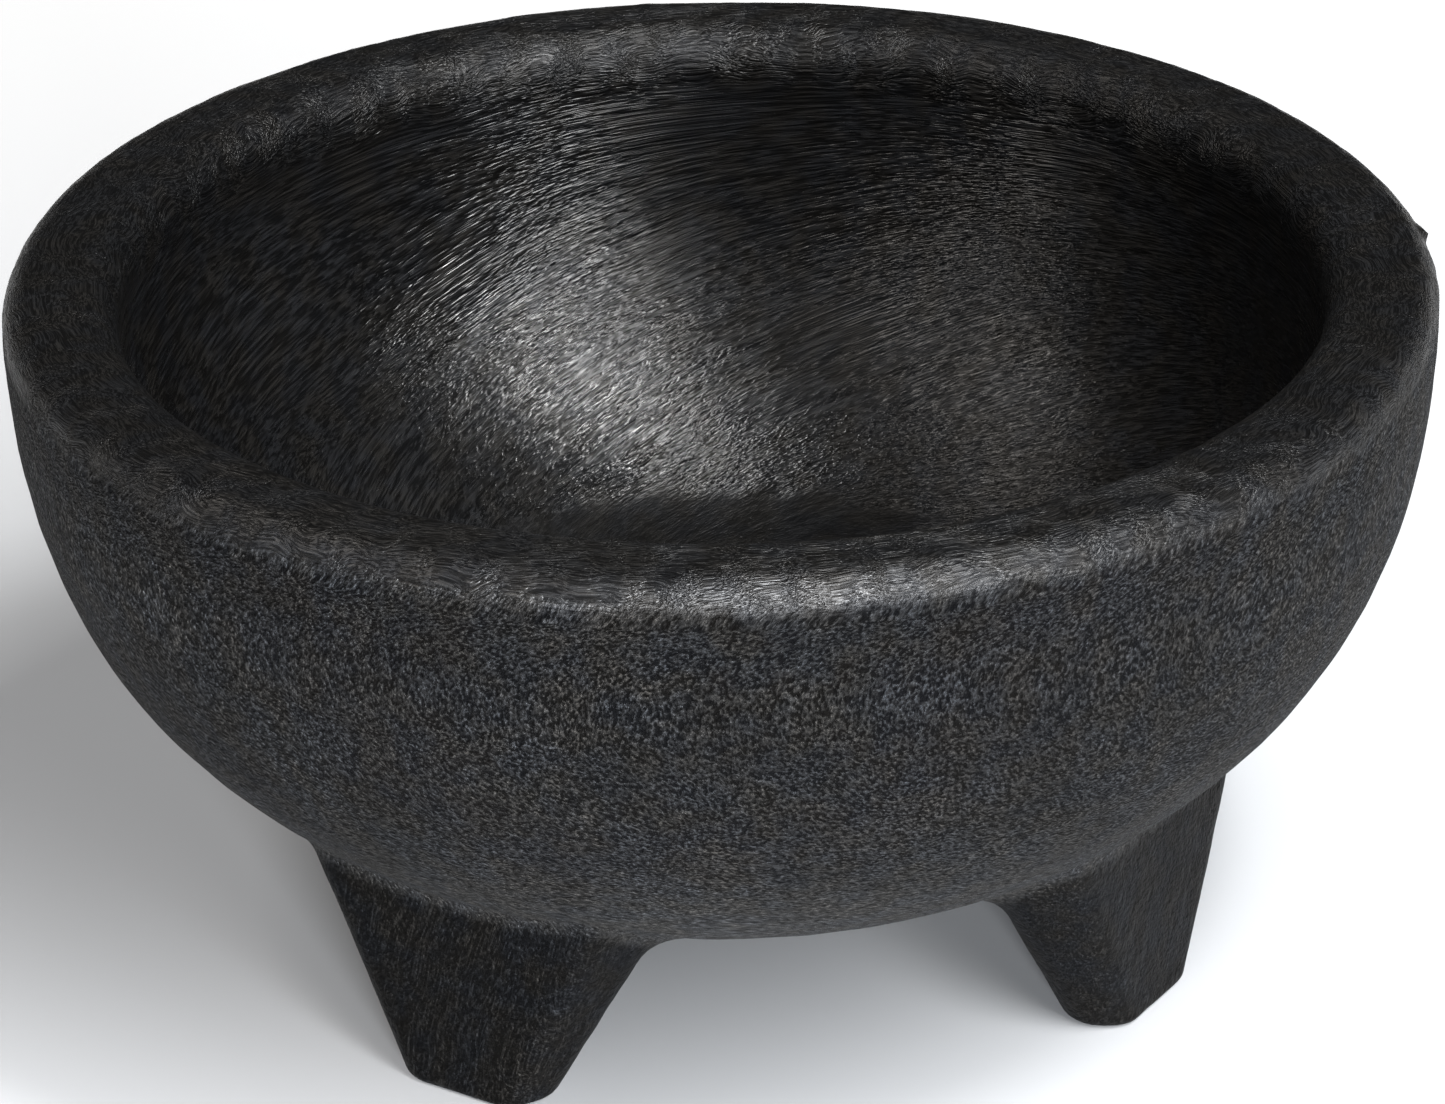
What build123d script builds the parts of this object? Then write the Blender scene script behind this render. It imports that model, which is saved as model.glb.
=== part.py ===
from build123d import *
import math
import os

# Molcajete-shaped serving bowl: a thick round bowl on four tapered legs.
# Millimetres, +Z up. The origin is on the table, under the centre of the bowl.
# The front, -Y, lies midway between two legs.

# Bowl
BOWL_DIAMETER = 127.0
OVERALL_HEIGHT = 62.4
OUTER_DEPTH = 53.5  # rim plane down to the lowest point of the underside
WALL_THICKNESS = 10.0  # at the rim
FLOOR_THICKNESS = 9.0  # at the centre
SECTION_POWER = 2.5  # 2 gives an ellipse, more gives straighter sides and a flatter bottom
SECTION_STEPS = 8  # spline spans in each curve of the section
RIM_OUTER_ROUND = 2.6
RIM_INNER_ROUND = 3.2

# Legs, equally spaced. Each is a slab with a flat upright outward face.
LEG_NAMES = ["leg_front_right", "leg_back_right", "leg_back_left", "leg_front_left"]
FIRST_LEG_ANGLE = -45.0  # degrees from +X, seen from above
FACE_RADIUS = 45.2  # bowl axis to a leg's outward face
FOOT_THICKNESS = 7.0  # radial
FOOT_OUTER_WIDTH = 10.6
FOOT_INNER_WIDTH = 19.0
OUTER_WIDENING = 0.95  # growth of the outward face's width per unit of height
INNER_WIDENING = 1.0
INNER_LEAN = 0.15  # the inward face moves this much towards the axis per unit of height
LOFT_HEIGHT = 25.0  # the legs are drawn up to here and then trimmed by the bowl
LEG_CORNER_ROUND = 3.2
FOOT_EDGE_ROUND = 0.8

OUTER_RADIUS = BOWL_DIAMETER / 2
INNER_RADIUS = OUTER_RADIUS - WALL_THICKNESS
INNER_DEPTH = OUTER_DEPTH - FLOOR_THICKNESS


def section_points(radius, depth):
    """Points of a superellipse quarter, from the bottom centre out and up to the rim plane."""
    points = []
    for step in range(SECTION_STEPS + 1):
        turn = math.radians(90 * step / SECTION_STEPS)
        across = math.sin(turn) / radius
        down = math.cos(turn) / depth
        reach = (across**SECTION_POWER + down**SECTION_POWER) ** (-1 / SECTION_POWER)
        points.append((reach * math.sin(turn), OVERALL_HEIGHT - reach * math.cos(turn)))
    return points


# Bowl: the section between the outer and inner curves, turned about the axis.
with BuildPart() as bowl:
    with BuildSketch(Plane.XZ) as wall_section:
        with BuildLine() as wall_outline:
            outside = Spline(section_points(OUTER_RADIUS, OUTER_DEPTH), tangents=[(1, 0), (0, 1)])
            inside = Spline(section_points(INNER_RADIUS, INNER_DEPTH), tangents=[(1, 0), (0, 1)])
            Line(outside @ 1, inside @ 1)
            Line(outside @ 0, inside @ 0)
        make_face()
    revolve(axis=Axis.Z)
    rim_edges = bowl.edges().filter_by(GeomType.CIRCLE).group_by(Axis.Z)[-1].sort_by(SortBy.RADIUS)
    fillet(rim_edges[-1], RIM_OUTER_ROUND)
    rim_edges = bowl.edges().filter_by(GeomType.CIRCLE).group_by(Axis.Z)[-1].sort_by(SortBy.RADIUS)
    fillet(rim_edges[0], RIM_INNER_ROUND)

# Solid of the bowl's outer shape, which trims the tops of the legs so that they meet the bowl exactly.
with BuildPart() as bowl_envelope:
    with BuildSketch(Plane.XZ) as envelope_section:
        with BuildLine() as envelope_outline:
            skin = Spline(section_points(OUTER_RADIUS, OUTER_DEPTH), tangents=[(1, 0), (0, 1)])
            Polyline(skin @ 1, (0, OVERALL_HEIGHT), skin @ 0)
        make_face()
    revolve(axis=Axis.Z)

os.makedirs("parts", exist_ok=True)
bowl.part.label = "bowl"
export_step(bowl.part, "parts/bowl.step")

# Legs: a rounded trapezium at the floor lofted to a wider one inside the bowl, then trimmed.
for position, leg_name in enumerate(LEG_NAMES):
    leg_plane = Plane.XY.rotated((0, 0, FIRST_LEG_ANGLE + position * 360 / len(LEG_NAMES)))
    with BuildPart() as leg:
        for height in (0, LOFT_HEIGHT):
            outer_half = (FOOT_OUTER_WIDTH + OUTER_WIDENING * height) / 2
            inner_half = (FOOT_INNER_WIDTH + INNER_WIDENING * height) / 2
            inner_face = FACE_RADIUS - FOOT_THICKNESS - INNER_LEAN * height
            with BuildSketch(leg_plane.offset(height)) as leg_section:
                Polygon(
                    (FACE_RADIUS, -outer_half),
                    (FACE_RADIUS, outer_half),
                    (inner_face, inner_half),
                    (inner_face, -inner_half),
                    align=None,
                )
                fillet(leg_section.vertices(), LEG_CORNER_ROUND)
        loft(ruled=True)
        sole = leg.faces().sort_by(Axis.Z)[0]
        fillet(sole.edges(), FOOT_EDGE_ROUND)
        add(bowl_envelope.part, mode=Mode.SUBTRACT)
    leg.part.label = leg_name
    export_step(leg.part, f"parts/{leg_name}.step")
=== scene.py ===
"""Looks of the molcajete: a thick bowl and four legs in black fibre-streaked plastic.

Metres, +Z up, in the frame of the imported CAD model. The bowl and each leg are dense meshes
whose surfaces really undulate; the finest fibres and grain are in the material.
"""

import itertools
import math

import bpy
import numpy as np
from mathutils import Matrix, Vector


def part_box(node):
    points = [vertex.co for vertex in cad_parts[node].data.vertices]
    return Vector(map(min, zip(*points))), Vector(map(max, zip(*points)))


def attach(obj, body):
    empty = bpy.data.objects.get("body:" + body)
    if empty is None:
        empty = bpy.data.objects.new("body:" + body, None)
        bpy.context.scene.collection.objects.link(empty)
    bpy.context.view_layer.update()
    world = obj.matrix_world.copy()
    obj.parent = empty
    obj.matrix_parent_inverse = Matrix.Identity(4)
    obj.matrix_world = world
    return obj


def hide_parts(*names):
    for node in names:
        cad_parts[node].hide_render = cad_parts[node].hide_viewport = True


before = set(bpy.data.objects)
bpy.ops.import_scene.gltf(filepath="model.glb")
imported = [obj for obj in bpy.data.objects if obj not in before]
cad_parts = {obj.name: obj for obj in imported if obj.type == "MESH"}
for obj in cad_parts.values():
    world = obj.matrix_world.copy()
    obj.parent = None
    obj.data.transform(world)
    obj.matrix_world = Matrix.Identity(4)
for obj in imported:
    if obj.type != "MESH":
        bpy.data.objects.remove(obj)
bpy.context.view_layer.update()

MM = 0.001
bowl_low, bowl_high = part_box("bowl")

# Bowl section, as in the CAD model: superellipse quarters about the centre of the rim plane.
RIM_HEIGHT = bowl_high.z
OUTER_RADIUS = (bowl_high.x - bowl_low.x) / 2
OUTER_DEPTH = bowl_high.z - bowl_low.z
WALL_THICKNESS = 10 * MM
FLOOR_THICKNESS = 9 * MM
INNER_RADIUS = OUTER_RADIUS - WALL_THICKNESS
INNER_DEPTH = OUTER_DEPTH - FLOOR_THICKNESS
SECTION_POWER = 2.5
RIM_OUTER_ROUND = 2.6 * MM
RIM_INNER_ROUND = 3.2 * MM

# Legs, as in the CAD model.
LEG_NODES = sorted(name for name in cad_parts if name.startswith("leg_"))
FACE_RADIUS = 45.2 * MM
FOOT_THICKNESS = 7.0 * MM
FOOT_OUTER_WIDTH = 10.6 * MM
FOOT_INNER_WIDTH = 19.0 * MM
OUTER_WIDENING = 0.95
INNER_WIDENING = 1.0
INNER_LEAN = 0.15
LEG_CORNER_ROUND = 3.2 * MM
FOOT_EDGE_ROUND = 0.8 * MM
OUTER_BLEND = 1.1 * MM  # soft fillet where a leg's outward face runs into the bowl
INNER_BLEND = 4.0 * MM  # and at its inward corners

# Mesh fineness.
WALL_STEP = 0.8 * MM
RIM_STEP = 0.5 * MM
AROUND = 576
SECTION_SAMPLES = 900
ARC_SAMPLES = 60
SWIRL_SAMPLES = 4000
SPACING_SAMPLES = 6000
LEG_SIDE_SAMPLES = 16
LEG_CORNER_SAMPLES = 9
LEG_RISE_STEPS = 44
LEG_RISE_LIMIT = 28 * MM  # higher than any point where a leg's edge meets the bowl
SOLE_RING_INSETS = (2.9, 2.2, 1.5, 1.1)  # millimetres
BURIED_DEPTH = 0.8 * MM  # how far a leg's top goes into the bowl's wall, out of sight

# Relief that is real geometry.
SWELL_HEIGHT = 0.12 * MM
OUTER_SWELL_SIZE = 22 * MM
INNER_SWELL_SIZE = 16 * MM
PEEL_HEIGHT = 0.06 * MM
PEEL_SIZE = 2.6 * MM
RIDGE_HEIGHT = 0.08 * MM
RIDGE_SIZE = 5.0  # in fibre widths and lengths
FLASH_HEIGHT = 0.22 * MM
FLASH_WIDTH = 0.7 * MM
CHIP_HEIGHT = 0.55 * MM
CHIP_ANGLE = -5.5  # degrees about +Z from +X
CHIP_WIDTH = 0.9

# Fibres and grain.
FIBRE_WIDTH = 0.16 * MM
FIBRE_LENGTH = 1.9 * MM
FLOOR_RADIUS = 34 * MM  # the smoother patch at the bottom of the bowl, along the section; it is darker partly from its calmer relief and partly from painted shade
SLOPE_SWING = 9 * MM
SLOPE_SWING_ANGLE = math.radians(-45)
GRAIN_WIDTH = 0.34 * MM
GRAIN_LENGTH = 0.46 * MM
TURNING_CORE = 2 * MM  # lines turn no faster than they do at this distance from the axis
PATTERN_CORE = 3 * MM  # and their pattern shrinks no further than it has here
LEG_FIBROUS = 0.5  # how much of a leg's surface pattern is fibre rather than grain
FIBRE_BEND = 3.0  # how far patterns wander, in their own widths, and over what distance
FIBRE_BEND_SIZE = 14 * MM
RIM_BEND = 10
RIM_BEND_SIZE = 5 * MM
GRAIN_BEND = 1.5
LEG_FIBRE_BEND = 6
SKIN_BEND_SIZE = 7 * MM
FRAY_DEPTH = 0.5 * MM  # how far the fibrous skin's edge at the rim wanders up and down
FRAY_SIZE = 5 * MM

# The camera looks down at the bowl from in front, a little to the left of its front, -Y.
CAMERA_TURN = -12.85  # degrees about +Z, negative to the left of the front
CAMERA_PITCH = 26.52
CAMERA_ROLL = 0.89
CAMERA_DISTANCE = 620.0 * MM
CAMERA_LENS = 174.4  # millimetres, as the sensor's width
SENSOR_WIDTH = 36.0
CAMERA_AIM_RISE = 25.6 * MM  # how far above the picture's centre the rim's centre is, at the bowl
CAMERA_AIM_SIDE = 0.15 * MM


# ---------------------------------------------------------------- noise and small helpers


def lattice_noise(points, seed):
    """Smooth noise between -1 and 1 at each point, the same on every run for the same seed."""
    cell = np.floor(points).astype(np.int64)
    part = points - cell
    part = part**3 * (part * (part * 6 - 15) + 10)
    total = np.zeros(len(points))
    for corner in itertools.product((0, 1), repeat=3):
        at = cell + np.array(corner)
        key = at[:, 0] * 374761393 + at[:, 1] * 668265263 + at[:, 2] * 2147483647 + seed * 1013904223
        key = (key ^ (key >> 13)) * 1274126177 & 0xFFFFFFFF
        key = (key ^ (key >> 16)) * 2246822519 & 0xFFFFFFFF
        value = (key & 0xFFFF) / 32767.5 - 1
        weight = np.ones(len(points))
        for axis in range(3):
            weight *= part[:, axis] if corner[axis] else 1 - part[:, axis]
        total += value * weight
    return total


def layered_noise(points, size, seed, layers=3):
    """Noise of a feature size in metres, with finer and weaker layers."""
    total = np.zeros(len(points))
    for layer in range(layers):
        total += lattice_noise(points / size * 2**layer, seed + layer) / 2**layer
    return total / (2 - 2.0 ** (1 - layers))


def drift(points, size, seed, layers=1):
    """A smooth vector field between -1 and 1, to bend patterns with."""
    return np.stack([layered_noise(points, size, seed + 17 * axis, layers) for axis in range(3)], 1)


def smooth_step(low, high, x):
    t = np.clip((x - low) / (high - low), 0, 1)
    return t * t * (3 - 2 * t)


# ---------------------------------------------------------------- the section of the bowl


def quarter(radius, depth, turn):
    """Superellipse point (r, z); turn is 0 straight down and a quarter turn at the rim plane."""
    across = np.sin(turn) / radius
    down = np.cos(turn) / depth
    reach = (across**SECTION_POWER + down**SECTION_POWER) ** (-1 / SECTION_POWER)
    return np.stack([reach * np.sin(turn), RIM_HEIGHT - reach * np.cos(turn)], -1)


def arc(centre_r, centre_z, radius, start, end):
    turn = np.radians(np.linspace(start, end, ARC_SAMPLES))
    return np.stack([centre_r + radius * np.cos(turn), centre_z + radius * np.sin(turn)], -1)


def bowl_section():
    """The closed half section from the underside's centre, out, over the rim and down inside."""
    turn = np.linspace(0, math.pi / 2, SECTION_SAMPLES)
    outside = quarter(OUTER_RADIUS, OUTER_DEPTH, turn)
    outside = outside[outside[:, 1] < RIM_HEIGHT - RIM_OUTER_ROUND]
    inside = quarter(INNER_RADIUS, INNER_DEPTH, turn)[::-1]
    inside = inside[inside[:, 1] < RIM_HEIGHT - RIM_INNER_ROUND]
    outer_round = arc(
        OUTER_RADIUS - RIM_OUTER_ROUND, RIM_HEIGHT - RIM_OUTER_ROUND, RIM_OUTER_ROUND, 0, 90
    )
    inner_round = arc(
        INNER_RADIUS + RIM_INNER_ROUND, RIM_HEIGHT - RIM_INNER_ROUND, RIM_INNER_ROUND, 90, 180
    )
    return np.concatenate([outside, outer_round, inner_round, inside])


section = bowl_section()
section_run = np.concatenate([[0], np.cumsum(np.linalg.norm(np.diff(section, axis=0), axis=1))])
OUTER_RIM_RUN = section_run[np.argmax(section[:, 1] > RIM_HEIGHT - RIM_OUTER_ROUND)]
top = np.flatnonzero(section[:, 1] > RIM_HEIGHT - RIM_INNER_ROUND)
INNER_RIM_RUN = section_run[top[-1]]
WHOLE_RUN = section_run[-1]


def section_at(run):
    """Points of the section at a distance along it from the underside's centre."""
    return np.stack([np.interp(run, section_run, section[:, k]) for k in (0, 1)], -1)


def swirl(run, slopes, across, along):
    """Pattern coordinates of lines that climb the bowl at given slopes from level.

    slopes lists (share of the section, degrees). across and along are the pattern's sizes.
    Returns the angle turned by a line up to each run, the size of the pattern's circle per
    metre of radius, and the count of lengths passed."""
    shares, degrees = zip(*slopes)
    fine = np.linspace(0, WHOLE_RUN, SWIRL_SAMPLES)
    slope = np.radians(np.interp(fine / WHOLE_RUN, shares, degrees))
    radius = np.maximum(section_at(fine)[:, 0], TURNING_CORE)
    turning = 1 / (radius * np.tan(slope))
    passing = 1 / (along * np.abs(np.sin(slope)) + across * np.abs(np.cos(slope)))
    turned = np.concatenate([[0], np.cumsum((turning[1:] + turning[:-1]) / 2 * np.diff(fine))])
    passed = np.concatenate([[0], np.cumsum((passing[1:] + passing[:-1]) / 2 * np.diff(fine))])
    circle = np.abs(np.sin(slope)) / across
    return [np.interp(run, fine, value) for value in (turned, circle, passed)]


# ---------------------------------------------------------------- patterns laid over the surface

# How steeply the lines climb inside and over the rim, and outside up to the rim.
# Each entry is a share of the section's whole run and the slope there, in degrees from level.
INNER_SLOPES = [
    (0.0, 4),
    (0.60, 4),
    (0.63, 8),
    (0.66, 12),
    (0.69, 17),
    (0.72, 20),
    (0.75, 24),
    (0.82, 24),
    (0.86, 15),
    (1.0, 12),
]
OUTER_SLOPES = [(0.0, 165), (0.16, 160), (0.30, 140), (0.42, 105), (0.50, 60), (1.0, 60)]


def fibre_field(run, angle, points):
    """Fibre coordinates inside the bowl and on the rim: one unit is a fibre's width or its length."""
    # The lines climb more steeply on the right of the bowl's back than on its left.
    depth = smooth_step(INNER_RIM_RUN, INNER_RIM_RUN + 25 * MM, run)
    leaning = run + SLOPE_SWING * depth * np.cos(angle - SLOPE_SWING_ANGLE)
    turned, circle, passed = swirl(leaning, INNER_SLOPES, FIBRE_WIDTH, FIBRE_LENGTH)
    circle *= np.maximum(section_at(run)[:, 0], PATTERN_CORE)
    whirl = angle - turned
    field = np.stack([circle * np.cos(whirl), circle * np.sin(whirl), passed], 1)
    on_rim = smooth_step(OUTER_RIM_RUN - 2 * MM, OUTER_RIM_RUN + 1 * MM, run) * smooth_step(
        INNER_RIM_RUN + 4 * MM, INNER_RIM_RUN - 1 * MM, run
    )
    rim_bend = (RIM_BEND * on_rim)[:, None] * drift(points, RIM_BEND_SIZE, 71, 2)
    return field + (FIBRE_BEND * drift(points, FIBRE_BEND_SIZE, 11) + rim_bend)


def grain_field(run, angle, points):
    """Grain coordinates on the outside, stretched a little along a slope that changes with height."""
    turned, circle, passed = swirl(run, OUTER_SLOPES, GRAIN_WIDTH, GRAIN_LENGTH)
    circle *= np.maximum(section_at(run)[:, 0], PATTERN_CORE)
    whirl = angle - turned
    field = np.stack([circle * np.cos(whirl), circle * np.sin(whirl), passed], 1)
    return field + GRAIN_BEND * drift(points, SKIN_BEND_SIZE, 31)


def outer_height(points):
    """Relief of the outer skin, in metres: swells and orange peel."""
    swell = layered_noise(points, OUTER_SWELL_SIZE, 3, 2)
    peel = layered_noise(points, PEEL_SIZE, 5, 2)
    return SWELL_HEIGHT * swell + PEEL_HEIGHT * peel


def inner_height(points, field):
    """Relief of the inside and the rim: swells and shallow ridges along the fibres."""
    swell = layered_noise(points, INNER_SWELL_SIZE, 7, 2)
    ridge = layered_noise(field, RIDGE_SIZE, 9, 2)
    return SWELL_HEIGHT * swell + RIDGE_HEIGHT * ridge


# ---------------------------------------------------------------- meshes


def add_vectors(mesh, name, values):
    attribute = mesh.attributes.new(name, "FLOAT_VECTOR", "POINT")
    attribute.data.foreach_set("vector", np.ascontiguousarray(values, np.float32).ravel())


def add_values(mesh, name, values):
    attribute = mesh.attributes.new(name, "FLOAT", "POINT")
    attribute.data.foreach_set("value", np.ascontiguousarray(values, np.float32))


def make_piece(name, points, faces, material):
    mesh = bpy.data.meshes.new(name)
    mesh.from_pydata(points.tolist(), [], faces)
    mesh.update()
    mesh.polygons.foreach_set("use_smooth", [True] * len(mesh.polygons))
    mesh.materials.append(material)
    piece = bpy.data.objects.new(name, mesh)
    bpy.context.scene.collection.objects.link(piece)
    return piece


def ring_faces(lower, lower_count, upper, upper_count):
    """Faces between two rings of a turned mesh; the counts are equal or one is twice the other."""
    faces = []
    if lower_count == upper_count:
        for k in range(lower_count):
            after = (k + 1) % lower_count
            faces.append((lower + k, lower + after, upper + after, upper + k))
        return faces
    wide, narrow = (lower, upper) if lower_count > upper_count else (upper, lower)
    count = min(lower_count, upper_count)
    for k in range(count):
        a, b, c = wide + 2 * k, wide + 2 * k + 1, wide + (2 * k + 2) % (2 * count)
        d, e = narrow + k, narrow + (k + 1) % count
        found = [(a, b, d), (b, e, d), (b, c, e)]
        faces += found if wide == lower else [face[::-1] for face in found]
    return faces


def ring_count(radius):
    """Vertices of a ring: the full number outside, halved as the rings get small."""
    count = AROUND
    while count > 9 and 2 * math.pi * radius / count < 0.6 * WALL_STEP:
        count //= 2
    return count


def bowl_runs():
    """Where the rings lie along the section: closer together over the rim."""
    fine = np.linspace(0, WHOLE_RUN, SPACING_SAMPLES)
    near_rim = smooth_step(OUTER_RIM_RUN - 6 * MM, OUTER_RIM_RUN - 1 * MM, fine) * smooth_step(
        INNER_RIM_RUN + 6 * MM, INNER_RIM_RUN + 1 * MM, fine
    )
    density = 1 / (WALL_STEP + (RIM_STEP - WALL_STEP) * near_rim)
    amount = np.concatenate([[0], np.cumsum((density[1:] + density[:-1]) / 2 * np.diff(fine))])
    return np.interp(np.linspace(0, amount[-1], int(amount[-1]) + 1), amount, fine)


def flash(points, angle, run):
    """Ragged moulding flash along one side of the rim's outer edge, with one torn chip."""
    degrees = np.degrees(angle)
    along = smooth_step(-21, -15, degrees) * smooth_step(5, 0, degrees)
    across = np.exp(-(((run - OUTER_RIM_RUN - 0.6 * MM) / FLASH_WIDTH) ** 2))
    ragged = 0.6 + 0.4 * layered_noise(points, 1.5 * MM, 41, 2)
    chip = np.exp(-(((degrees - CHIP_ANGLE) / CHIP_WIDTH) ** 2))
    return across * (FLASH_HEIGHT * along * ragged + CHIP_HEIGHT * chip)


def make_bowl(material):
    runs = bowl_runs()
    ring_points, ring_runs, ring_angles, faces = [], [], [], []
    starts, counts = [], []
    total = 0
    for run in runs:
        radius, height = section_at(run)
        count = ring_count(radius) if 0 < run < WHOLE_RUN else 1
        if 0 < run < WHOLE_RUN and radius < 1e-6:
            continue
        angle = np.arange(count) * 2 * math.pi / count
        ring_points.append(
            np.stack([radius * np.cos(angle), radius * np.sin(angle), np.full(count, height)], 1)
        )
        ring_runs.append(np.full(count, run))
        ring_angles.append(np.mod(angle + math.pi, 2 * math.pi) - math.pi)
        starts.append(total)
        counts.append(count)
        total += count
    for k in range(len(starts) - 1):
        if counts[k] == 1:
            n = counts[k + 1]
            faces += [(starts[k], starts[k + 1] + (j + 1) % n, starts[k + 1] + j) for j in range(n)]
        elif counts[k + 1] == 1:
            n = counts[k]
            faces += [(starts[k] + j, starts[k] + (j + 1) % n, starts[k + 1]) for j in range(n)]
        else:
            faces += ring_faces(starts[k], counts[k], starts[k + 1], counts[k + 1])
    points = np.concatenate(ring_points)
    run = np.concatenate(ring_runs)
    angle = np.concatenate(ring_angles)

    step = 0.05 * MM
    ahead, behind = section_at(run + step), section_at(run - step)
    tangent = ahead - behind
    tangent /= np.linalg.norm(tangent, axis=1)[:, None]
    normal = np.stack([tangent[:, 1] * np.cos(angle), tangent[:, 1] * np.sin(angle), -tangent[:, 0]], 1)

    fibres = fibre_field(run, angle, points)
    grain = grain_field(run, angle, points)
    fray = FRAY_DEPTH * layered_noise(points, FRAY_SIZE, 61, 3)
    fibrous = smooth_step(OUTER_RIM_RUN - 1.2 * MM, OUTER_RIM_RUN + 1.0 * MM, run + fray)
    rim = smooth_step(INNER_RIM_RUN + 3 * MM, INNER_RIM_RUN - 1 * MM, run)
    edge = WHOLE_RUN - FLOOR_RADIUS + 2 * MM * layered_noise(fibres, 9.0, 23, 3)
    floor = smooth_step(-1.2 * MM, 1.2 * MM, run - edge)
    height = (1 - fibrous) * outer_height(points) + fibrous * inner_height(points, fibres)
    height += flash(points, angle, run)
    piece = make_piece("bowl_body", points + normal * height[:, None], faces, material)
    add_vectors(piece.data, "fibres", fibres)
    add_vectors(piece.data, "grain", grain)
    add_vectors(piece.data, "zone", np.stack([fibrous, rim, floor], 1))
    add_values(piece.data, "leg", np.zeros(len(run)))
    return piece


def inset(corners, distance):
    """A convex outline moved inwards by a distance."""
    moved = []
    count = len(corners)
    for k in range(count):
        before, here, after = corners[k - 1], corners[k], corners[(k + 1) % count]
        a = (here - before) / np.linalg.norm(here - before)
        b = (after - here) / np.linalg.norm(after - here)
        inward_a, inward_b = np.array([-a[1], a[0]]), np.array([-b[1], b[0]])
        shift = np.linalg.solve(np.array([inward_a, inward_b]), np.array([distance, distance]))
        moved.append(here + shift)
    return np.array(moved)


def leg_outline(height, distance):
    """A leg's rounded outline at a height above the sole, moved inwards by a distance.

    The first coordinate points away from the bowl's axis and the second sideways."""
    outer = (FOOT_OUTER_WIDTH + OUTER_WIDENING * height) / 2
    inner = (FOOT_INNER_WIDTH + INNER_WIDENING * height) / 2
    back = FACE_RADIUS - FOOT_THICKNESS - INNER_LEAN * height
    corners = np.array([(FACE_RADIUS, -outer), (FACE_RADIUS, outer), (back, inner), (back, -inner)])
    corners = inset(corners, distance)
    rounding = max(LEG_CORNER_ROUND - 0.9 * distance, 0.25 * MM)
    arcs = []
    for k in range(4):
        before, here, after = corners[k - 1], corners[k], corners[(k + 1) % 4]
        a = (here - before) / np.linalg.norm(here - before)
        b = (after - here) / np.linalg.norm(after - here)
        start, end = np.array([a[1], -a[0]]), np.array([b[1], -b[0]])
        half = math.acos(np.clip(start @ end, -1, 1)) / 2
        centre = here - (start + end) / np.linalg.norm(start + end) * rounding / math.cos(half)
        first = math.atan2(start[1], start[0])
        turn = first + np.linspace(0, 2 * half, LEG_CORNER_SAMPLES)
        arcs.append(centre + rounding * np.stack([np.cos(turn), np.sin(turn)], 1))
    outline = []
    for k in range(4):
        here, after = arcs[k], arcs[(k + 1) % 4]
        outline.append(here)
        share = np.linspace(0, 1, LEG_SIDE_SAMPLES + 1)[1:-1, None]
        outline.append(here[-1] * (1 - share) + after[0] * share)
    return np.concatenate(outline)


def on_bowl(points):
    """The points moved along lines from the rim's centre onto the outer skin."""
    radius = np.hypot(points[:, 0], points[:, 1])
    turn = np.arctan2(radius, RIM_HEIGHT - points[:, 2])
    skin = quarter(OUTER_RADIUS, OUTER_DEPTH, turn)
    scale = skin[:, 0] / radius
    return np.stack([points[:, 0] * scale, points[:, 1] * scale, skin[:, 1]], 1)


def bowl_depth(points):
    """How far outside the bowl's skin the points are, roughly, in metres."""
    return np.linalg.norm(points - [0, 0, RIM_HEIGHT], axis=1) - np.linalg.norm(
        on_bowl(points) - [0, 0, RIM_HEIGHT], axis=1
    )


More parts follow.
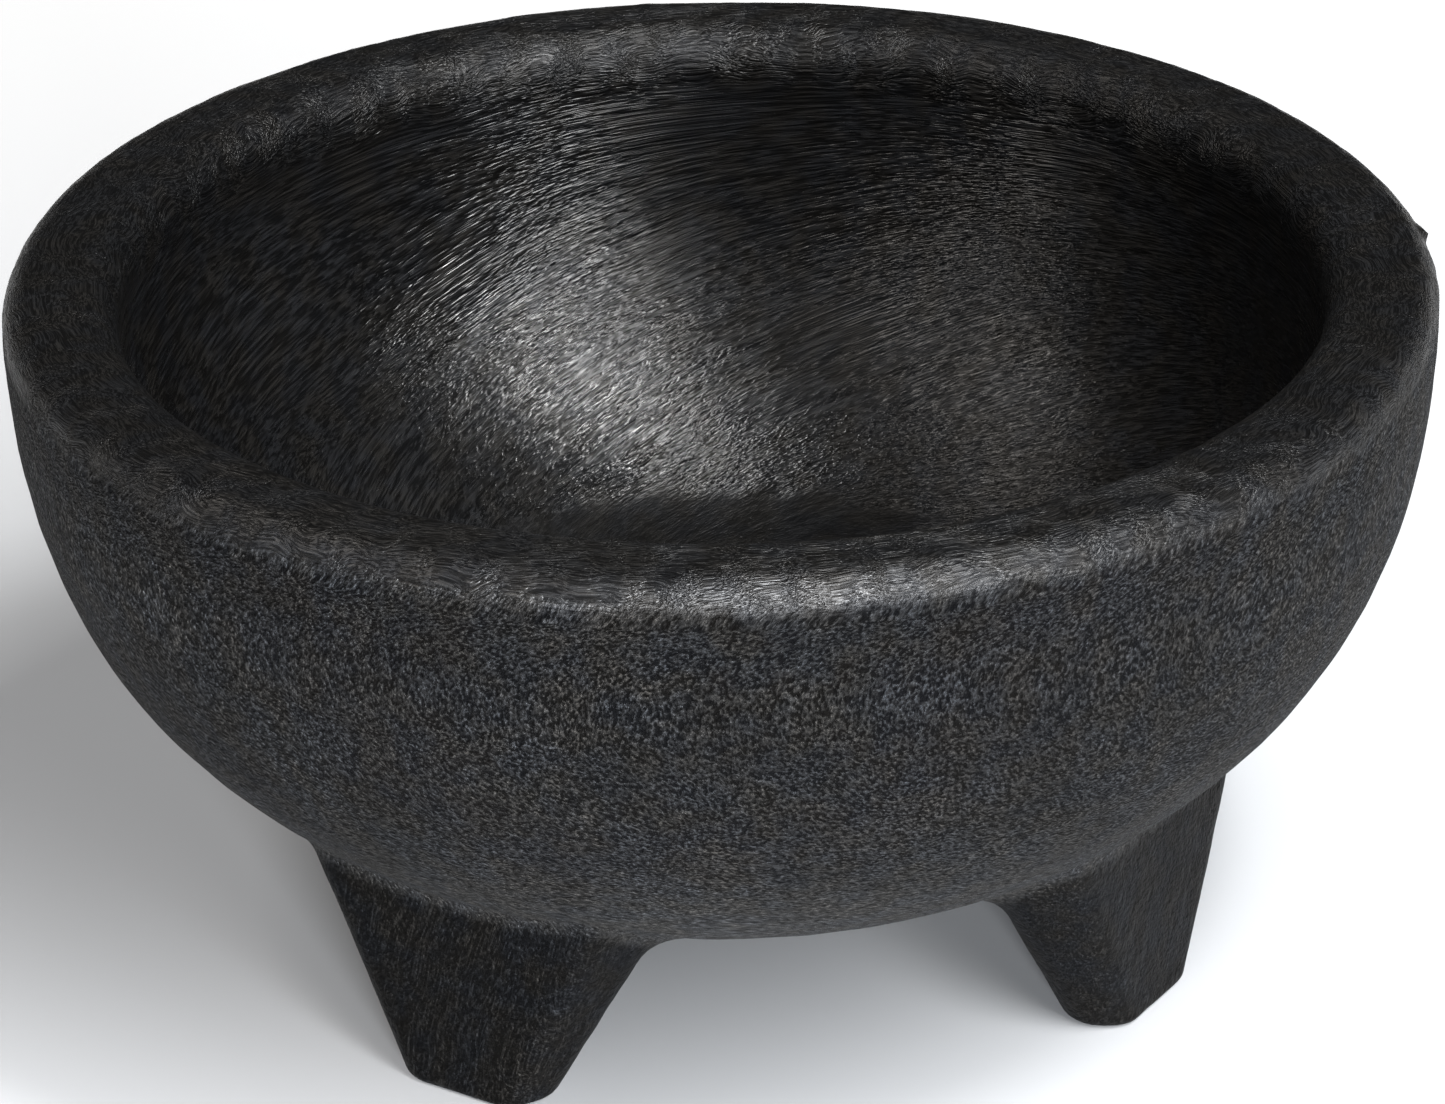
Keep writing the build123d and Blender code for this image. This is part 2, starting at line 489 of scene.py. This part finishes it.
def make_leg(node, material):
    """One leg: a wedge that widens upwards into a small fillet, with its top inside the wall."""
    low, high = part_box(node)
    facing = math.atan2(low.y + high.y, low.x + high.x)
    out = np.array([math.cos(facing), math.sin(facing)])
    side = np.array([-out[1], out[0]])

    def place(plan, height):
        plan = np.asarray(plan)
        flat = plan[:, :1] * out + plan[:, 1:] * side
        return np.column_stack([flat, np.broadcast_to(height, len(flat))])

    rings = []
    for distance in SOLE_RING_INSETS:
        rings.append(place(leg_outline(0, distance * MM), 0.0))
    for turn in np.radians(np.linspace(0, 90, 8)):
        height = FOOT_EDGE_ROUND * (1 - math.cos(turn))
        distance = FOOT_EDGE_ROUND * (1 - math.sin(turn))
        rings.append(place(leg_outline(height, distance), height))
    reference = 10 * MM
    start = place(leg_outline(FOOT_EDGE_ROUND, 0), FOOT_EDGE_ROUND)
    above = place(leg_outline(FOOT_EDGE_ROUND + reference, 0), FOOT_EDGE_ROUND + reference)
    rise = (above - start) / reference
    low_end, high_end = np.zeros(len(start)), np.full(len(start), LEG_RISE_LIMIT)
    for _ in range(40):
        middle = (low_end + high_end) / 2
        outside = bowl_depth(start + rise * middle[:, None]) > 0
        low_end = np.where(outside, middle, low_end)
        high_end = np.where(outside, high_end, middle)
    meeting = start + rise * low_end[:, None]

    # Outward direction of each outline point, laid flat on the bowl's skin there.
    around = np.roll(start, -1, 0) - np.roll(start, 1, 0)
    outward = np.stack([around[:, 1], -around[:, 0], np.zeros(len(start))], 1)
    outward /= np.linalg.norm(outward, axis=1)[:, None]
    inwardness = smooth_step(FACE_RADIUS, FACE_RADIUS - 7 * MM, start @ np.array([*out, 0.0]))
    blend = (OUTER_BLEND + (INNER_BLEND - OUTER_BLEND) * inwardness)[:, None]
    nudge = 0.1 * MM
    skin_point = on_bowl(meeting)
    skin_ahead = on_bowl(skin_point + outward * nudge)
    away = skin_ahead - skin_point
    away /= np.linalg.norm(away, axis=1)[:, None]
    rise_unit = rise / np.linalg.norm(rise, axis=1)[:, None]
    blend_start = meeting - rise_unit * blend
    blend_end = on_bowl(meeting + away * blend)

    for k in range(1, LEG_RISE_STEPS + 1):
        rings.append(start + (blend_start - start) * (k / LEG_RISE_STEPS))
    for t in np.linspace(0, 1, 9)[1:]:
        rings.append(blend_start * (1 - t) ** 2 + meeting * (2 * t * (1 - t)) + blend_end * t**2)
    centre = on_bowl(meeting).mean(0)
    inward = np.array([0, 0, RIM_HEIGHT]) - blend_end
    inward /= np.linalg.norm(inward, axis=1)[:, None]
    skin_rings = len(rings)
    rings.append(blend_end + inward * BURIED_DEPTH)

    count = len(start)
    points = np.concatenate(rings + [rings[0].mean(0)[None], (centre + inward.mean(0) * 3 * MM)[None]])
    sole_centre, top_centre = len(points) - 2, len(points) - 1
    faces = [(sole_centre, (k + 1) % count, k) for k in range(count)]
    for ring in range(len(rings) - 1):
        faces += ring_faces(ring * count, count, (ring + 1) * count, count)
    last = (len(rings) - 1) * count
    faces += [(last + k, last + (k + 1) % count, top_centre) for k in range(count)]

    # Relief along the vertex normals of the plain shape.
    probe = bpy.data.meshes.new("probe")
    probe.from_pydata(points.tolist(), [], faces)
    normal = np.zeros(len(points) * 3)
    probe.vertices.foreach_get("normal", normal)
    normal = normal.reshape(-1, 3)
    bpy.data.meshes.remove(probe)
    ring_index = np.minimum(np.arange(len(points)) // count, len(rings) - 1)
    near_bowl = 1 - smooth_step(0.1 * MM, 1.5 * MM, bowl_depth(points))
    fade = smooth_step(3, 9, ring_index)
    sunk = np.where(ring_index >= skin_rings - 1, 0.06 * MM, 0.0)
    height = outer_height(points) * fade - sunk
    shaped = points + normal * height[:, None]
    shaped[:, 2] = np.maximum(shaped[:, 2], 0)

    along = points @ np.array([*(0.25 * side), 1.0])
    across = points @ np.array([*side, -0.25])
    radial = points @ np.array([*out, 0.0])
    fibres = np.stack([across, radial, along * FIBRE_WIDTH / FIBRE_LENGTH], 1) / FIBRE_WIDTH
    fibres += LEG_FIBRE_BEND * drift(points, SKIN_BEND_SIZE, 51, 2)
    piece = make_piece(node + "_body", shaped, faces, material)
    add_vectors(piece.data, "fibres", fibres)
    grain = points / GRAIN_WIDTH + GRAIN_BEND * drift(points, SKIN_BEND_SIZE, 31)
    add_vectors(piece.data, "grain", grain)
    smooth_part = 1 - near_bowl
    none = np.zeros(len(points))
    add_vectors(piece.data, "zone", np.stack([LEG_FIBROUS * smooth_part, none, none], 1))
    add_values(piece.data, "leg", smooth_part)
    return piece


# ---------------------------------------------------------------- material


class NodeTree:
    """Short calls for building one material's nodes."""

    def __init__(self, name):
        self.material = bpy.data.materials.new(name)
        self.material.use_nodes = True
        self.tree = self.material.node_tree
        self.shader = self.tree.nodes["Principled BSDF"]

    def put(self, socket, value):
        if isinstance(value, bpy.types.NodeSocket):
            self.tree.links.new(value, socket)
        else:
            socket.default_value = value

    def add(self, kind, settings=None, **inputs):
        """A node with its settings and inputs; _0 is the first input and From_Min is From Min."""
        node = self.tree.nodes.new(kind)
        for key, value in (settings or {}).items():
            setattr(node, key, value)
        for key, value in inputs.items():
            which = int(key[1:]) if key[1:].isdigit() else key.replace("_", " ")
            self.put(node.inputs[which], value)
        return node

    def attribute(self, name):
        return self.add("ShaderNodeAttribute", {"attribute_name": name}).outputs["Vector"]

    def twisted(self, vector, twist):
        """The pattern turned about its axis more and more along the fibres, so it runs askew."""
        along = self.add("ShaderNodeSeparateXYZ", Vector=vector).outputs[2]
        turn = self.math("MULTIPLY", along, twist)
        moved = self.add("ShaderNodeVectorMath", {"operation": "ADD"}, _0=vector, _1=(0, 0, 40.5))
        return self.rotated(moved.outputs[0], turn)

    def rotated(self, vector, angle):
        """The vector turned about +Z."""
        kind = {"rotation_type": "Z_AXIS"}
        return self.add("ShaderNodeVectorRotate", kind, Vector=vector, Angle=angle).outputs[0]

    def noise(self, vector, scale, detail=2.0, roughness=0.5):
        values = {"Vector": vector, "Scale": scale, "Detail": detail, "Roughness": roughness}
        return self.add("ShaderNodeTexNoise", **values).outputs["Fac"]

    def cell_distance(self, vector, scale):
        return self.add("ShaderNodeTexVoronoi", Vector=vector, Scale=scale).outputs["Distance"]

    def math(self, operation, a, b=0.0):
        return self.add("ShaderNodeMath", {"operation": operation}, _0=a, _1=b).outputs[0]

    def ramp(self, value, low, high, to_low=0.0, to_high=1.0):
        node = self.add(
            "ShaderNodeMapRange",
            {"interpolation_type": "SMOOTHSTEP"},
            Value=value,
            From_Min=low,
            From_Max=high,
            To_Min=to_low,
            To_Max=to_high,
        )
        return node.outputs[0]

    def mix(self, factor, a, b):
        node = self.add("ShaderNodeMix", {"data_type": "FLOAT"}, _0=factor, _2=a, _3=b)
        return node.outputs[0]

    def mix_colour(self, factor, a, b):
        node = self.add("ShaderNodeMix", {"data_type": "RGBA"}, _0=factor, _6=a, _7=b)
        return node.outputs[2]


# The plastic's colours, each slightly warm and slightly cool.
DARK = ((0.0046, 0.0043, 0.0040, 1), (0.0040, 0.0042, 0.0048, 1))
PALE = ((0.0095, 0.0088, 0.0080, 1), (0.0080, 0.0085, 0.0097, 1))
FLECK = ((0.028, 0.026, 0.0235, 1), (0.0235, 0.0260, 0.0300, 1))
FRAYED = ((0.0120, 0.0110, 0.0100, 1), (0.0095, 0.0100, 0.0110, 1))

# The metallic channel mutes reflections, since its colour is near black; nothing here is metal. The
# muting is painted shade: in pits and gaps, and over the outer wall (less towards its underside), the
# legs, the calm patch and the rim's top.
PIT_AND_GAP_PAINTED_SHADE = 0.5
UNDERSIDE_PAINTED_SHADE = 0.30
WALL_PAINTED_SHADE = 0.68
LEG_PAINTED_SHADE = 0.72
CALM_PAINTED_SHADE = 0.6
RIM_TOP_PAINTED_SHADE = 0.16

# Roughness of each part, and how far it varies from bundle to bundle of fibres.
GRAIN_ROUGHNESS = 0.8
SPECK_ROUGHNESS = 0.55
FIBRE_ROUGHNESS = 0.26
RIM_ROUGHNESS = 0.40
CALM_ROUGHNESS = 0.4
LEG_ROUGHNESS = 0.62
ROUGHNESS_SPREAD = 0.04
SPECULAR_LEVEL = 0.37
PLASTIC_IOR = 1.49

# Height of the fine relief, in millimetres, and its strength in each zone as a share.
STRAND_RELIEF = 0.14
BUNDLE_RELIEF = 0.09
HAIR_RELIEF = 0.045
PEBBLE_RELIEF = 0.55
CRUMB_RELIEF = -0.2
KNOB_RELIEF = 0.7
RIM_RELIEF = 1.4
CALM_RELIEF = 0.3
LEG_RELIEF = 0.6


def fibrous_plastic(name):
    """Black foamed plastic with fibre streaks and pebbled grain, and painted shade through its metallic
    channel.

    zone.x is 1 where it is fibrous and 0 where it is grained, zone.y is 1 on the rim and outside,
    and zone.z is 1 on the calmer patch at the bottom of the inside."""
    n = NodeTree(name)
    fibres, grain, zone = n.attribute("fibres"), n.attribute("grain"), n.attribute("zone")
    split = n.add("ShaderNodeSeparateXYZ", Vector=zone)
    fibrous, rim, calm = split.outputs[0], split.outputs[1], split.outputs[2]
    leg = n.add("ShaderNodeAttribute", {"attribute_name": "leg"}).outputs["Fac"]
    place = n.add("ShaderNodeTexCoord").outputs["Object"]
    thinned = n.add("ShaderNodeVectorMath", {"operation": "MULTIPLY"}, _0=fibres, _1=(2.4, 2.4, 1.0))
    thin = thinned.outputs[0]

    patches = n.noise(place, 90.0, 2.0)
    strand = n.noise(fibres, 0.8, 1.0, 0.6)
    crossing = n.noise(n.twisted(fibres, 0.03), 0.8, 1.0, 0.6)
    strand = n.math("MAXIMUM", strand, n.math("SUBTRACT", crossing, 0.06))
    hair = n.noise(thin, 0.8, 0.0)
    bundle = n.noise(fibres, 0.25, 1.0)
    pebble = n.noise(grain, 1.0, 2.0, 0.6)
    crumb = n.cell_distance(grain, 0.9)
    knob = n.noise(grain, 0.42, 1.0)

    dash = n.ramp(strand, 0.55, 0.70)
    speck = n.ramp(pebble, 0.50, 0.70)
    light = n.mix(fibrous, speck, dash)
    light = n.math("MULTIPLY", light, n.ramp(patches, 0.3, 0.7, 0.45, 1.0))

    # Muting, which is painted shade: in the pits between the grains and the gaps between the fibres,
    # then over whole zones.
    pit = n.math("ADD", n.math("MULTIPLY", pebble, 0.72), n.math("MULTIPLY", knob, 0.28))
    gap = n.math("MULTIPLY", n.ramp(strand, 0.58, 0.47, 0.0, 1.2), n.mix(rim, 1.0, 0.9))
    gap = n.math("MULTIPLY", gap, n.mix(calm, 1.0, 0.2))
    pit = n.math("MULTIPLY", n.mix(fibrous, n.ramp(pit, 0.58, 0.36), gap), n.mix(leg, 1.0, 0.55))
    height = n.add("ShaderNodeSeparateXYZ", Vector=place).outputs[2]
    # Painted shade on the outer wall, lighter towards the underside, where the floor's reflection shows
    # brighter.
    outside = n.ramp(height, 0.016, 0.036, UNDERSIDE_PAINTED_SHADE, WALL_PAINTED_SHADE)
    zone_painted_shade = n.math("MULTIPLY", n.math("SUBTRACT", 1.0, fibrous), outside)
    # Painted shade on the legs, under the bowl, and on the calm patch at the bottom inside.
    leg_part = n.math("MULTIPLY", leg, LEG_PAINTED_SHADE)
    zone_painted_shade = n.math("ADD", zone_painted_shade, n.math("ADD", leg_part, n.math("MULTIPLY", calm, CALM_PAINTED_SHADE)))
    # Painted shade on the rim's top.
    rim_top = n.math("MULTIPLY", rim, fibrous)
    zone_painted_shade = n.math("ADD", zone_painted_shade, n.math("MULTIPLY", rim_top, RIM_TOP_PAINTED_SHADE))
    n.put(n.shader.inputs["Metallic"], n.math("ADD", n.math("MULTIPLY", pit, PIT_AND_GAP_PAINTED_SHADE), zone_painted_shade))

    # Colour: near black, paler along the fibres, drifting between slightly warm and slightly cool.
    tint = n.ramp(n.noise(place, 260.0, 2.0), 0.35, 0.65)
    dark = n.mix_colour(tint, *DARK)
    pale = n.mix_colour(tint, *PALE)
    fleck = n.mix_colour(tint, *FLECK)
    frayed = n.mix_colour(tint, *FRAYED)
    pale = n.mix_colour(fibrous, fleck, n.mix_colour(rim, pale, frayed))
    n.put(n.shader.inputs["Base Color"], n.mix_colour(light, dark, pale))

    grained = n.mix(speck, GRAIN_ROUGHNESS, SPECK_ROUGHNESS)
    rough = n.mix(fibrous, grained, n.mix(rim, FIBRE_ROUGHNESS, RIM_ROUGHNESS))
    rough = n.mix(calm, rough, CALM_ROUGHNESS)
    rough = n.mix(leg, rough, LEG_ROUGHNESS)
    spread = n.ramp(bundle, 0.3, 0.7, -ROUGHNESS_SPREAD, ROUGHNESS_SPREAD)
    n.put(n.shader.inputs["Roughness"], n.math("ADD", rough, spread))
    n.shader.inputs["Specular IOR Level"].default_value = SPECULAR_LEVEL
    n.shader.inputs["IOR"].default_value = PLASTIC_IOR

    strands = n.math("MULTIPLY", strand, STRAND_RELIEF)
    fibre_relief = n.math("ADD", strands, n.math("MULTIPLY", bundle, BUNDLE_RELIEF))
    fibre_relief = n.math("ADD", fibre_relief, n.math("MULTIPLY", hair, HAIR_RELIEF))
    pebbles = n.math("MULTIPLY", pebble, PEBBLE_RELIEF)
    grain_relief = n.math("ADD", pebbles, n.math("MULTIPLY", crumb, CRUMB_RELIEF))
    grain_relief = n.math("ADD", grain_relief, n.math("MULTIPLY", knob, KNOB_RELIEF))
    relief = n.mix(fibrous, grain_relief, fibre_relief)
    relief = n.math("MULTIPLY", relief, n.mix(rim, 1.0, RIM_RELIEF))
    relief = n.math("MULTIPLY", relief, n.mix(calm, 1.0, CALM_RELIEF))
    relief = n.math("MULTIPLY", relief, n.mix(leg, 1.0, LEG_RELIEF))
    bump = n.add("ShaderNodeBump", Strength=1.0, Distance=MM, Height=relief)
    n.put(n.shader.inputs["Normal"], bump.outputs["Normal"])
    return n.material


# The floor's paper: around the object, painted shade to its left and right, and painted light far
# behind it.
PAPER = ((0.425, 0.435, 0.45, 1), (0.445, 0.455, 0.47, 1))
PAPER_PAINTED_SHADE = (0.32, 0.32, 0.32, 1)
PAPER_PAINTED_LIGHT = (0.68, 0.68, 0.68, 1)


def floor_material():
    """Pale paper with painted shade, darker to the left and right of the object so the bowl's sides
    reflect less of it, and painted light, paler far behind it where less light falls.
    """
    n = NodeTree("floor_paper")
    place = n.add("ShaderNodeTexCoord").outputs["Object"]
    turned = n.rotated(place, -math.radians(CAMERA_TURN))
    behind = n.add("ShaderNodeSeparateXYZ", Vector=turned).outputs[1]
    # Painted light: the paper gets paler far behind the object, where less light falls.
    far = n.ramp(behind, 0.04, 0.40)
    aside = n.math("ABSOLUTE", n.add("ShaderNodeSeparateXYZ", Vector=turned).outputs[0])
    # Painted shade: the paper gets darker to the object's left and right.
    shade = n.ramp(aside, 0.07, 0.24)
    cloud = n.mix_colour(n.noise(place, 3.0, 2.0), *PAPER)
    paper_with_painted_shade = n.mix_colour(shade, cloud, PAPER_PAINTED_SHADE)
    n.put(n.shader.inputs["Base Color"], n.mix_colour(far, paper_with_painted_shade, PAPER_PAINTED_LIGHT))
    n.shader.inputs["Roughness"].default_value = 0.9
    n.shader.inputs["Specular IOR Level"].default_value = 0.1
    return n.material


# ---------------------------------------------------------------- the object

plastic = fibrous_plastic("fibrous_plastic")
bowl = make_bowl(plastic)
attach(bowl, "root")
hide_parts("bowl")

for leg_node in LEG_NODES:
    leg = make_leg(leg_node, plastic)
    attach(leg, "root")
    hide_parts(leg_node)


# ---------------------------------------------------------------- stage, light and camera


FLOOR_HALF = 6.0
LAMP_DISTANCE = 0.8
KEY_LEAN = 28  # degrees
KEY_POWER = 8.7  # watts
WORLD_STRENGTH = 0.05


def make_floor():
    half = FLOOR_HALF
    corners = np.array([(-half, -half, 0), (half, -half, 0), (half, half, 0), (-half, half, 0)])
    floor = make_piece("floor", corners, [(0, 1, 2, 3)], floor_material())


def aim(item, target):
    item.rotation_euler = (Vector(target) - item.location).to_track_quat("-Z", "Y").to_euler()


def softbox(name, azimuth, elevation, size, power, colour, lean=0, distance=LAMP_DISTANCE):
    """An area light of a width and height, aimed at the bowl. Angles are in degrees.

    Azimuth is measured from the camera's side, positive to its right. The top of a leaning
    box is moved to the right."""
    lamp = bpy.data.lights.new(name, "AREA")
    lamp.shape = "RECTANGLE"
    lamp.size, lamp.size_y = size
    lamp.energy = power
    lamp.color = colour
    item = bpy.data.objects.new(name, lamp)
    item.visible_camera = False
    bpy.context.scene.collection.objects.link(item)
    turn = math.radians(azimuth + CAMERA_TURN)
    rise = math.radians(elevation)
    flat = distance * math.cos(rise)
    above = RIM_HEIGHT + distance * math.sin(rise)
    item.location = (flat * math.sin(turn), -flat * math.cos(turn), above)
    aim(item, (0, 0, RIM_HEIGHT * 0.6))
    tilt = Matrix.Rotation(-math.radians(lean), 3, "Z")
    item.rotation_euler = (item.rotation_euler.to_matrix() @ tilt).to_euler()


make_floor()
softbox("key_warm", 33, 45, (0.1, 0.9), KEY_POWER, (1.0, 0.975, 0.94), KEY_LEAN)
softbox("key_cool", 41, 45, (0.1, 0.9), KEY_POWER, (0.93, 0.96, 1.0), KEY_LEAN)
softbox("key_high", 57, 68, (0.12, 0.3), 5, (1.0, 0.99, 0.97))
softbox("front", 12, -1.0, (0.16, 0.08), 34, (0.95, 0.97, 1.0))
softbox("fill", -78, 45, (0.22, 0.6), 4.5, (1.0, 0.95, 0.9), distance=0.9)

world = bpy.data.worlds.new("studio")
world.use_nodes = True
background = world.node_tree.nodes["Background"]
background.inputs["Color"].default_value = (1, 1, 1, 1)
background.inputs["Strength"].default_value = WORLD_STRENGTH
bpy.context.scene.world = world
bpy.context.scene.view_settings.view_transform = "Standard"

camera_data = bpy.data.cameras.new("camera")
camera_data.sensor_width = SENSOR_WIDTH
camera_data.lens = CAMERA_LENS
camera_data.clip_start = 0.01
camera = bpy.data.objects.new("camera", camera_data)
bpy.context.scene.collection.objects.link(camera)
pitch, turn = math.radians(CAMERA_PITCH), math.radians(CAMERA_TURN)
spin = Matrix.Rotation(turn, 3, "Z")
right = spin @ Vector((1, 0, 0))
up = spin @ Vector((0, math.sin(pitch), math.cos(pitch)))
forward = spin @ Vector((0, math.cos(pitch), -math.sin(pitch)))
position = Vector((0, 0, RIM_HEIGHT)) - forward * CAMERA_DISTANCE
position = position - up * CAMERA_AIM_RISE - right * CAMERA_AIM_SIDE
roll = math.radians(CAMERA_ROLL)
rolled_right = right * math.cos(roll) - up * math.sin(roll)
rolled_up = right * math.sin(roll) + up * math.cos(roll)
camera.matrix_world = Matrix(
    [[rolled_right[k], rolled_up[k], -forward[k], position[k]] for k in range(3)] + [[0, 0, 0, 1]]
)
bpy.context.scene.camera = camera
